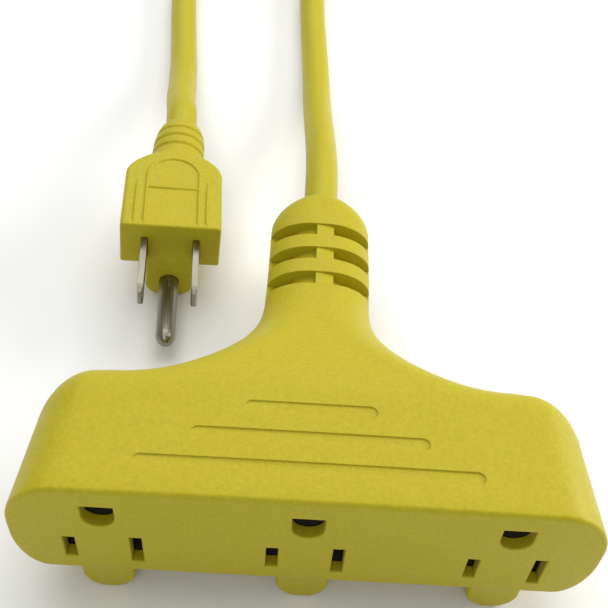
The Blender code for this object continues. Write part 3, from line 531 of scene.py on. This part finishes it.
# Where each turn of the hank lies, from the block's end of the cord: (row, column from the inside)
HANK_CELLS = [
    (1, 3), (1, 2), (1, 1), (2, 1), (2, 2), (3, 2), (3, 1),
    (4, 1), (5, 1), (5, 2), (4, 2), (4, 3), (3, 3), (2, 3),
]
POINTS_PER_TURN = 28
SHIFT_FROM = 0.80  # after this share of a turn the cord moves over to its next place
ROUTE_SPACING = 9.0
PLUG_LEAD = (-1.5, 8.6)  # start inside the collar, then straight on along the plug
TUBE_ALLOWANCE = 0.03  # a tube's flats lie this far inside its round
FIRST_ANGLE = -32.0  # where the cord joins the near loop, in degrees anticlockwise from +X
LAST_SHARE = 0.78  # how far round the last turn goes


def plug_turn():
    turn = Euler((math.radians(-PLUG_PITCH), math.radians(PLUG_ROLL), math.radians(PLUG_YAW)), "YXZ")
    return turn.to_matrix()


def plug_height():
    """How high the plug's origin is when its boss all but touches the floor."""
    turn = plug_turn()
    inner = BOSS_HALF_WIDTH - BOSS_CORNER
    ends = [(s * inner, y) for s in (-1, 1) for y in (BOSS_START, BOSS_LENGTH)]
    centres = [turn @ Vector((x, y, BOSS_BOTTOM + BOSS_CORNER)) for x, y in ends]
    return BOSS_CORNER + PLUG_CLEARANCE - min(c.z for c in centres)


def plug_point(x, y, z):
    spot = plug_turn() @ Vector((x, y, z))
    return (spot.x + PLUG_AT[0], spot.y + PLUG_AT[1], spot.z + plug_height())


def hank_turn():
    """One turn from the near right, in arcs: centre, radius, angle from, angle to, sign of outward."""
    centre_x, centre_y = HANK_NEAR_CENTRE
    middle_y = centre_y + HANK_HALF_RUN
    loop, waist, run = HANK_LOOP_RADIUS, HANK_WAIST, HANK_HALF_RUN
    waist_radius = (waist**2 + run**2 - loop**2) / (2 * (loop - waist))
    side = waist + waist_radius
    reach = math.degrees(math.atan2(run, side))
    near, far = (centre_x, middle_y - run), (centre_x, middle_y + run)
    return [
        (near, loop, FIRST_ANGLE, reach, 1),
        ((centre_x + side, middle_y), waist_radius, 180 + reach, 180 - reach, -1),
        (far, loop, -reach, 180 + reach, 1),
        ((centre_x - side, middle_y), waist_radius, reach, -reach, -1),
        (near, loop, 180 - reach, 360 + FIRST_ANGLE, 1),
    ]


def on_turn(share, offset):
    """A point on the turn that lies offset outside the innermost one, and share of the way round it."""
    pieces = hank_turn()
    lengths = [abs(math.radians(b - a)) * (r + way * offset) for _, r, a, b, way in pieces]
    left = share * sum(lengths)
    for (centre, radius, start, end, way), length in zip(pieces, lengths):
        if left <= length:
            break
        left -= length
    angle = math.radians(start + (end - start) * left / length)
    reach = radius + way * offset
    return centre[0] + reach * math.cos(angle), centre[1] + reach * math.sin(angle)


def hank_points():
    """The wound part, from where it leaves the floor to where its last turn leaves for the plug."""
    points = []
    last = len(HANK_CELLS) - 1
    for turn, (row, column) in enumerate(HANK_CELLS):
        after = HANK_CELLS[min(turn + 1, last)]
        for k in range(POINTS_PER_TURN):
            share = k / POINTS_PER_TURN
            shift = smooth_step(share, SHIFT_FROM, 1.0)
            if turn == last and share > LAST_SHARE:
                return points
            offset = (column - 1 + (after[1] - column) * shift) * TURN_PITCH
            level = HANK_BOTTOM + CORD_RADIUS + (row - 1 + (after[0] - row) * shift) * ROW_PITCH
            points.append((*on_turn(share, offset), level))
    return points


def smooth_route(points):
    """Evenly spaced points on a Catmull-Rom curve through the given points."""
    knots = [Vector(p) for p in points]
    knots = [2 * knots[0] - knots[1]] + knots + [2 * knots[-1] - knots[-2]]
    fine = []
    for a, b, c, d in zip(knots, knots[1:], knots[2:], knots[3:]):
        for k in range(20):
            t = k / 20
            bend = (2 * a - 5 * b + 4 * c - d) * t * t + (3 * b - a - 3 * c + d) * t**3
            fine.append((2 * b + (c - a) * t + bend) / 2)
    fine.append(knots[-2])
    along = [0.0]
    for a, b in zip(fine, fine[1:]):
        along.append(along[-1] + (b - a).length)
    count = round(along[-1] / ROUTE_SPACING)
    route, k = [], 0
    for step in range(count + 1):
        wanted = along[-1] * step / count
        while k < len(fine) - 2 and along[k + 1] < wanted:
            k += 1
        share = (wanted - along[k]) / (along[k + 1] - along[k])
        route.append(fine[k].lerp(fine[k + 1], min(1.0, share)))
    return route


def path_length(points):
    return sum((Vector(b) - Vector(a)).length for a, b in zip(points, points[1:]))


def cord():
    """The whole free cord as one tube, from the block's neck through the hank to the plug's collar."""
    lead = [plug_point(COLLAR_LEAN, PLUG_LENGTH + s, COLLAR_Z) for s in PLUG_LEAD]
    first = smooth_route([CORD_START] + BLOCK_CORD)
    last = list(reversed(smooth_route(lead + PLUG_CORD)))
    points = first + [Vector(p) for p in hank_points()] + last
    curve = bpy.data.curves.new("cord", "CURVE")
    curve.dimensions = "3D"
    curve.bevel_depth = (CORD_RADIUS + TUBE_ALLOWANCE) * 0.001
    curve.bevel_resolution = 8
    curve.resolution_u = 5
    curve.render_resolution_u = 5
    curve.use_fill_caps = True
    line = curve.splines.new("BEZIER")
    line.bezier_points.add(len(points) - 1)
    for knot, at in zip(line.bezier_points, points):
        knot.co = metres(at)
        knot.handle_left_type = "AUTO"
        knot.handle_right_type = "AUTO"
    thing = link(bpy.data.objects.new("cord", curve))
    curve.materials.append(CORD_PVC)
    return thing, path_length(points)


cord_piece, cord_length = cord()


# ---- outlet block ----


def block_outline():
    """Stations along the right-hand outline: (x, y), outward normal, inset of the outlet face's round."""
    stations = []
    for angle in quarter_turn(6):
        inset = FACE_ROUND * (1 - math.sin(angle))
        y = FACE_ROUND * (1 - math.cos(angle))
        stations.append((Vector((BLOCK_HALF_WIDTH - SIDE_TAPER * y, y)), Vector((1, 0)), inset))
    corner_y = ARM_DEPTH - CORNER_RADIUS
    for k in range(1, 6):
        y = FACE_ROUND + (corner_y - FACE_ROUND) * k / 6
        stations.append((Vector((BLOCK_HALF_WIDTH - SIDE_TAPER * y, y)), Vector((1, 0)), 0.0))
    corner_x = BLOCK_HALF_WIDTH - SIDE_TAPER * corner_y - CORNER_RADIUS
    for angle in quarter_turn(12):
        normal = Vector((math.cos(angle), math.sin(angle)))
        stations.append((Vector((corner_x, corner_y)) + normal * CORNER_RADIUS, normal, 0.0))
    stations.append((Vector(SHOULDER[0]), Vector((0, 1)), 0.0))
    stations += [(at, normal, 0.0) for at, normal in bezier(SHOULDER, 30)]
    for k in range(1, 9):
        y = FLARE_END + (DOME_START - FLARE_END) * k / 8
        stations.append((Vector((NECK_HALF_WIDTH, y)), Vector((1, 0)), 0.0))
    dome_depth = (DOME_END - DOME_START) / math.sqrt(1 - (CORD_EXIT_RADIUS / NECK_HALF_WIDTH) ** 2)
    last = math.asin((DOME_END - DOME_START) / dome_depth)
    for k in range(1, 15):
        angle = last * k / 14
        at = Vector((NECK_HALF_WIDTH * math.cos(angle), DOME_START + dome_depth * math.sin(angle)))
        stations.append((at, Vector((1, 0)), 0.0))
    return stations


def crown_at(x):
    """How much higher the crowned top is at this x than at the block's two ends."""
    return CROWN * (1 - (x / BLOCK_HALF_WIDTH) ** 2)


def block_loop(at, normal, inset, columns=28, steps=12):
    """The block's cross-section at one station, anticlockwise seen from the outlet face."""
    neck = smooth_step(at.y, ARM_DEPTH + 2, FLARE_END)
    end = normal.x**2 if at.y < ARM_DEPTH else 0.0
    over_edge = TOP_EDGE_RADIUS + (END_REACH - TOP_EDGE_RADIUS) * end
    height = smooth_step(at.y - normal.y * over_edge, SLOPE_START, SLOPE_END)
    dome = 0.0
    if at.y > DOME_START:
        dome = (NECK_HALF_WIDTH - at.x) / (NECK_HALF_WIDTH - CORD_EXIT_RADIUS)
    half_height = NECK_HALF_HEIGHT + (CORD_EXIT_RADIUS - NECK_HALF_HEIGHT) * dome
    top = BODY_TOP + (NECK_Z + half_height - BODY_TOP) * height - inset
    bottom = BODY_BOTTOM + (NECK_Z - half_height - BODY_BOTTOM) * height + inset
    flat = NECK_FLAT + (DOME_FLAT - NECK_FLAT) * dome
    edge = Vector((at.x - inset, at.y))
    lean = NECK_LEAN * smooth_step(at.y, LEAN_FROM, LEAN_TO)
    waist = (top + bottom) / 2
    crowning = (1 - neck) * (1 - inset / FACE_ROUND)

    def quarter(radius, deep, level, way):
        """One rounded edge: radius, how far in it reaches, height of its flat, up (1) or down (-1)."""
        reach = deep + (at.x - flat - deep) * neck - inset
        tall = radius + (END_RISE - radius) * end
        rise = min(tall + (half_height - tall) * neck - inset, (top - bottom) / 2 - 0.05)
        found = []
        for angle in quarter_turn(steps):
            spot = edge - normal * reach * (1 - math.cos(angle))
            found.append((spot.x, spot.y + FRONT_Y, level + way * rise * (math.sin(angle) - 1)))
        return found

    def raised(x, y, z):
        share = max(0.0, (z - waist) / (top - waist))
        return x + lean, y, z + crown_at(x) * crowning * share

    lower = quarter(BOTTOM_EDGE_RADIUS, BOTTOM_EDGE_RADIUS, bottom, -1)
    right = list(reversed(lower)) + quarter(TOP_EDGE_RADIUS, over_edge, top, 1)
    x, y, z = right[-1]
    across = [x * (1 - 2 * k / columns) for k in range(1, columns)]
    over = [(s, y, z) for s in across]
    under = [(-s, right[0][1], right[0][2]) for s in across]
    left = [(-p[0], p[1], p[2]) for p in reversed(right)]
    return [raised(*p) for p in right + over + left + under]


def rib(x):
    """A half-round rib with a narrow flat to stand on, tapering up at its rear end."""
    half_flat = math.degrees(math.acos(RIB_CENTRE_Z / RIB_RADIUS))
    lower = arc((0.0, RIB_CENTRE_Z), RIB_RADIUS, -90 + half_flat, 0, 14)
    upper = [(RIB_RADIUS, RIB_TOP), (-RIB_RADIUS, RIB_TOP)]
    outline = lower + upper + [(-a, b) for a, b in reversed(lower)]

    def section(y, narrow, rise):
        return [(x + a * (1 - narrow), y + FRONT_Y, b + rise * (RIB_TOP - b)) for a, b in outline]

    sections = []
    for angle in quarter_turn(5):
        slim = RIB_ROUND * (1 - math.sin(angle))
        y = RIB_SETBACK + RIB_ROUND * (1 - math.cos(angle))
        sections.append(section(y, slim / RIB_RADIUS, slim / RIB_TOP))
    for k in range(9):
        share = smooth_step(k / 8, 0.0, 1.0)
        y = RIB_END - RIB_TAIL * (1 - k / 8)
        sections.append(section(y, RIB_TAIL_NARROW * share, RIB_TAIL_RISE * share))
    return loft(sections)


def lipped(section, start, end, lip):
    """An opening through the face whose mouth is rounded: section(grow) gives its (x, z) outline."""
    loops = [[(a, FRONT_Y + start, b) for a, b in section(lip)]]
    for angle in quarter_turn(5):
        y = FRONT_Y + lip * math.sin(angle)
        loops.append([(a, y, b) for a, b in section(lip * (1 - math.sin(angle)))])
    loops.append([(a, FRONT_Y + end, b) for a, b in section(0.0)])
    return loft(loops)


def ground_section(x):
    centre = SLOT_Z + GROUND_ABOVE_SLOTS

    def section(grow):
        radius = GROUND_HOLE_RADIUS + grow
        outline = [(x + a, b) for a, b in arc((0.0, centre), radius, 180, 360, 24)]
        top = centre + GROUND_HOLE_TOP + grow
        return outline + [(x + radius, top), (x - radius, top)]

    return section


def slot_section(x, height):
    def section(grow):
        return rectangle(x, SLOT_Z, SLOT_WIDTH / 2 + grow, height / 2 + grow)

    return section


def grip_bar(y, half_length):
    """A shallow groove with a round bottom edge, cut from above along the crowned top."""
    radius = GRIP_BAR_WIDTH / 2

    def ring(size, level):
        # the long sides have points of their own, so that the floor follows the crown
        right = arc((half_length - radius, y), size, -90, 90, 16)
        rear = [(k * half_length / 24, y + size) for k in range(18, -19, -1)]
        left = arc((radius - half_length, y), size, 90, 270, 16)
        front = [(-a, y - size) for a, _ in rear]
        spots = right + rear + left + front
        return [(a + GRIP_BAR_X, b + FRONT_Y, level + crown_at(a)) for a, b in spots]

    loops = []
    for angle in quarter_turn(5):
        level = BODY_TOP - GRIP_BAR_DEPTH + GRIP_BAR_SOFT * (1 - math.cos(angle))
        loops.append(ring(radius - GRIP_BAR_SOFT * (1 - math.sin(angle)), level))
    loops.append(ring(radius + 0.05, BODY_TOP + 3))
    return loft(loops)


def on_neck(outline):
    """Turns an (x, z) outline with the neck's twist and moves it onto the neck's axis."""
    twist = math.radians(WINDOW_TWIST)
    turned = []
    for x, z in outline:
        across = x * math.cos(twist) - z * math.sin(twist)
        turned.append((NECK_LEAN + across, NECK_Z + x * math.sin(twist) + z * math.cos(twist)))
    return turned


def across_window(outline, start):
    """An outline on the neck's axis, pushed along y over one row of windows."""
    ends = (start, start + WINDOW_LENGTH)
    return loft([[(a, FRONT_Y + y, b) for a, b in on_neck(outline)] for y in ends])


def spine_recess(start, way):
    """Lets the rings stand a little proud of the spine, above (way 1) or below (way -1) the neck."""
    inner = (NECK_HALF_WIDTH - SPINE_DROP, NECK_HALF_HEIGHT - SPINE_DROP)
    outer = (NECK_HALF_WIDTH + 2, NECK_HALF_HEIGHT + 2)
    reach = TOP_SPINE + 0.5
    outline = []
    for (a, b), way_round in ((inner, 1), (outer, -1)):
        for k in range(-4, 5):
            x = way_round * reach * k / 4
            outline.append((x, way * b * math.sqrt(1 - (x / a) ** 2)))
    return across_window(outline, start)


def window(start, side, way):
    """One of the four pockets in a row of the strain relief."""
    wide, tall = WINDOW_FLOOR
    outer_wide, outer_tall = NECK_HALF_WIDTH + 2, NECK_HALF_HEIGHT + 2
    stop = SIDE_SPINE + (way * LEFT_SPINE_SHIFT if side < 0 else 0.0)

    def bow(a, b):
        first = (TOP_SPINE, b * math.sqrt(1 - (TOP_SPINE / a) ** 2))
        last = (a * math.sqrt(1 - (stop / b) ** 2), stop)
        turn_from, turn_to = (math.atan2(z / b, x / a) for x, z in (first, last))
        turns = [turn_from + (turn_to - turn_from) * k / 20 for k in range(21)]
        return [(a * math.cos(t), b * math.sin(t)) for t in turns]

    outline = bow(wide, tall) + list(reversed(bow(outer_wide, outer_tall)))
    return across_window([(side * a, way * b) for a, b in outline], start)


def block_shell():
    body = new_object("outlet_block_shell", *loft([block_loop(*s) for s in block_outline()]), BODY_PVC)
    for x in OUTLET_X:
        boolean(body, "UNION", rib(x))
    inside = (-CAVITY_HALF_WIDTH, CAVITY_HALF_WIDTH)
    cut(body, box(inside, (FRONT_Y + SKIN, FRONT_Y + CAVITY_REAR), (CAVITY_BOTTOM, CAVITY_TOP)))
    funnel = [(CAVITY_REAR - 1, FUNNEL_RADIUS), (CAVITY_REAR + 0.5, FUNNEL_RADIUS)]
    bore = funnel + [(FUNNEL_END, BORE_RADIUS), (DOME_END + 2, BORE_RADIUS)]
    cut(body, turned_along_y([(y + FRONT_Y, r) for y, r in bore], NECK_LEAN, NECK_Z))
    openings = []
    for x in OUTLET_X:
        for section in (
            slot_section(x - SLOT_OFFSET, HOT_SLOT_HEIGHT),
            slot_section(x + SLOT_OFFSET, NEUTRAL_SLOT_HEIGHT),
            ground_section(x),
        ):
            openings.append(lipped(section, -1.0, SKIN + 1, LEAD_IN))
    cut(body, join_solids(openings))
    cut(body, join_solids([grip_bar(*bar) for bar in GRIP_BARS]))
    pockets = [(start, side, way) for start in WINDOW_STARTS for side in (1, -1) for way in (1, -1)]
    cut(body, join_solids([window(*pocket) for pocket in pockets]))
    cut(body, join_solids([spine_recess(start, way) for start in WINDOW_STARTS for way in (1, -1)]))
    shade(body)
    return body


# ---- plug ----


def collar_x(y):
    return COLLAR_LEAN * smooth_step(y, PLUG_STRAIGHT, PLUG_LENGTH)


def plug_section(y, half_width, bottom, top, edge_x, edge_z, low=1.0, steps=10):
    """A rounded rectangle at one distance behind the plug's face; low scales its lower corners."""
    outline = []
    for side, way, first in [(1, 1, 0), (-1, 1, 90), (-1, -1, 180), (1, -1, 270)]:
        size = 1.0 if way > 0 else low
        cx = side * (half_width - edge_x * size)
        cz = top - edge_z if way > 0 else bottom + edge_z * size
        for k in range(steps + 1):
            angle = math.radians(first + 90 * k / steps)
            x = cx + edge_x * size * math.cos(angle) + collar_x(y)
            outline.append((x, y, cz + edge_z * size * math.sin(angle)))
    return outline


def collar_section(y, dip):
    """The oval collar at y, made smaller all round by dip where there is a groove."""
    share = 1 - math.sqrt(1 - (max(0.0, y - COLLAR_DOME_START) / COLLAR_DOME_DEPTH) ** 2)
    wide = COLLAR_HALF_WIDTH - COLLAR_DOME_DROP[0] * share - dip
    tall = COLLAR_HALF_HEIGHT - COLLAR_DOME_DROP[1] * share - dip
    return plug_section(y, wide, COLLAR_Z - tall, COLLAR_Z + tall, wide - PLUG_SLIT, tall - PLUG_SLIT)


def plug_sections():
    sections = []
    edges = (PLUG_EDGE, PLUG_EDGE, PLUG_LOW_EDGE)
    for angle in quarter_turn(5):
        inset = PLUG_FACE_ROUND * (1 - math.sin(angle))
        sides = (PLUG_HALF_WIDTH - inset, PLUG_BOTTOM + inset, PLUG_TOP - inset)
        sections.append(plug_section(PLUG_FACE_ROUND * (1 - math.cos(angle)), *sides, *edges))
    for k in range(1, 6):
        y = PLUG_FACE_ROUND + (PLUG_STRAIGHT - PLUG_FACE_ROUND) * k / 6
        sections.append(plug_section(y, PLUG_HALF_WIDTH, PLUG_BOTTOM, PLUG_TOP, *edges))
    width_power, height_power = PLUG_SHOULDER_POWERS
    for k in range(25):
        t = k / 24
        share = t**height_power
        y = PLUG_STRAIGHT + (PLUG_SHOULDER_END - PLUG_STRAIGHT) * t
        half_width = PLUG_HALF_WIDTH + (COLLAR_HALF_WIDTH - PLUG_HALF_WIDTH) * t**width_power
        bottom = PLUG_BOTTOM + (COLLAR_Z - COLLAR_HALF_HEIGHT - PLUG_BOTTOM) * share
        top = PLUG_TOP + (COLLAR_Z + COLLAR_HALF_HEIGHT - PLUG_TOP) * share
        edge_x = PLUG_EDGE + (half_width - 3 * PLUG_SLIT - PLUG_EDGE) * share
        edge_z = PLUG_EDGE + ((top - bottom) / 2 - PLUG_SLIT - PLUG_EDGE) * share
        low = PLUG_LOW_EDGE + (1 - PLUG_LOW_EDGE) * share
        sections.append(plug_section(y, half_width, bottom, top, edge_x, edge_z, low))
    for groove in range(GROOVES):
        for k in range(-5, 6):
            y = FIRST_GROOVE + RIDGE_PITCH * groove + GROOVE_HALF_WIDTH * k / 5
            sections.append(collar_section(y, GROOVE_DEPTH * 0.5 * (1 + math.cos(math.pi * k / 5))))
    for k in range(1, 11):
        sections.append(collar_section(y + (PLUG_LENGTH - y) * k / 10, 0.0))
    return sections


def ground_boss():
    inner = BOSS_HALF_WIDTH - BOSS_CORNER
    right = arc((inner, BOSS_BOTTOM + BOSS_CORNER), BOSS_CORNER, -90, 0, 10)
    left = [(-a, b) for a, b in reversed(right)]
    outline = right + [(BOSS_HALF_WIDTH, 0.0), (-BOSS_HALF_WIDTH, 0.0)] + left

    def section(y, width, lift):
        return [(a * width, y, min(b + lift, 0.0)) for a, b in outline]

    face = [section(BOSS_START, 0.95, 0.3), section(BOSS_START + 0.4, 1.0, 0.0)]
    tail = section(BOSS_LENGTH + BOSS_TAIL, 1.0, BOSS_TAIL_RISE)
    return loft(face + [section(BOSS_LENGTH, 1.0, 0.0), tail])


def bead(path):
    """A low half-round bead along (x, y) points on the plug's top face, tapered to its two ends."""
    loops = []
    last = len(path) - 1
    for k, (x, y) in enumerate(path):
        size = 0.15 if k in (0, last) else 1.0
        before, after = Vector(path[max(0, k - 1)]), Vector(path[min(last, k + 1)])
        along = (after - before).normalized()
        across = Vector((along.y, -along.x)) * BEAD_WIDTH / 2 * size
        tall = BEAD_ROOT + BEAD_HEIGHT * size
        loop = []
        for j in range(9):
            angle = math.pi * j / 8
            side = across * math.cos(angle)
            loop.append((x + side.x, y + side.y, PLUG_TOP - BEAD_ROOT + tall * math.sin(angle)))
        loops.append(loop)
    return loft(loops)


def thumb_panel():
    """Paths of the plug's beads: round an arched panel, across it, and down each side of the plug."""
    edge, start = PANEL_HALF_WIDTH, PANEL_START
    arch = [(-edge, start), (-edge, start + 1.6), (-edge, PANEL_ARCH_START - 3.2)]
    for k in range(16):
        angle = math.radians(12 * k)
        arch.append((-edge * math.cos(angle), PANEL_ARCH_START + PANEL_ARCH_RISE * math.sin(angle)))
    arch += [(edge, PANEL_ARCH_START - 3.2), (edge, start + 1.6), (edge, start)]
    bar = [(x, PANEL_BAR_Y) for x in (-edge, 0.6 - edge, edge - 0.6, edge)]
    sides = [[(x, y) for y in (start, start + 1.6, 14.0, 18.0)] for x in SIDE_LINE_X]
    return [arch, bar, *sides]


def plug_shell():
    body = new_object("plug_shell", *loft(plug_sections()), BODY_PVC)
    boolean(body, "UNION", ground_boss())
    for path in thumb_panel():
        boolean(body, "UNION", bead(path))
    through = (-1.0, SKIN)
    wide, tall = BLADE_THICKNESS / 2 + FIT, BLADE_HEIGHT / 2 + FIT
    openings = [box((x - wide, x + wide), through, (-tall, tall)) for x in (-SLOT_OFFSET, SLOT_OFFSET)]
    openings.append(turned_along_y([(y, GROUND_PIN_RADIUS + FIT) for y in through], 0.0, GROUND_PIN_Z))
    cut(body, join_solids(openings))
    bore = [(PLUG_LENGTH - 6, BORE_RADIUS), (PLUG_LENGTH + 2, BORE_RADIUS)]
    cut(body, turned_along_y(bore, COLLAR_LEAN * 0.9, COLLAR_Z))
    shade(body)
    place_on_plug(body)
    return body


def place_on_plug(piece):
    piece.data.transform(Matrix.Translation(metres((*PLUG_AT, plug_height()))) @ plug_turn().to_4x4())


# ---- pieces ----

block = block_shell()
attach(block, "root")
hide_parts("block_overmould")

plug = plug_shell()
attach(plug, "root")
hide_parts("plug_overmould")

CAD_FINISHES = {
    "contact_carrier": INSERT,
    "carrier_cover": INSERT,
    "plug_bridge": DARK_NYLON,
    "hank_tie": WEBBING,
    "cord_jacket_in_block": CORD_PVC,
    "cord_jacket_in_plug": CORD_PVC,
    "hot_blade": PLATED,
    "neutral_blade": PLATED,
    "ground_pin": PLATED,
}
CONDUCTOR_FINISHES = {"hot": BLACK, "neutral": WHITE, "ground": GREEN}


def finish_cad_nodes():
    for name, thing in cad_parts.items():
        finish = CAD_FINISHES.get(name, BRASS)
        if "conductor" in name:
            finish = CONDUCTOR_FINISHES[name.split("_")[0]]
        for place in thing.material_slots:
            place.material = finish


finish_cad_nodes()

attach(cord_piece, "root")
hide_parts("cord_block_end", "cord_hank", "cord_plug_end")


# ---- setting ----

FLOOR_REACH = 3000.0


def stage():
    edges = [(x, y, 0) for x, y in rectangle(0, 0, FLOOR_REACH, FLOOR_REACH)]
    floor = new_object("floor", edges, [(0, 1, 2, 3)])
    white = Finish("floor_white", (0.92, 0.92, 0.92), 0.6)
    floor.data.materials.append(white.material)


def lamp(name, at, aim, size, power):
    """A square lamp, size millimetres wide, at one point and aimed at another."""
    data = bpy.data.lights.new(name, "AREA")
    data.energy = power
    data.size = size * 0.001
    thing = link(bpy.data.objects.new(name, data))
    thing.location = metres(at)
    thing.rotation_euler = (Vector(aim) - Vector(at)).to_track_quat("-Z", "Y").to_euler()


def lights():
    lamp("key", (-80, 800, 1300), (0, 60, 0), 1900, 20.5)
    lamp("front", (-100, -700, 700), (0, 0, 0), 500, 1.4)
    lamp("side", (650, 220, 330), (0, 20, 10), 350, 3.3)
    world = bpy.data.worlds.new("studio")
    world.use_nodes = True
    world.node_tree.nodes["Background"].inputs["Color"].default_value = (1.0, 1.0, 1.0, 1.0)
    world.node_tree.nodes["Background"].inputs["Strength"].default_value = 0.36
    bpy.context.scene.world = world
    bpy.context.scene.view_settings.view_transform = "Standard"


stage()
lights()
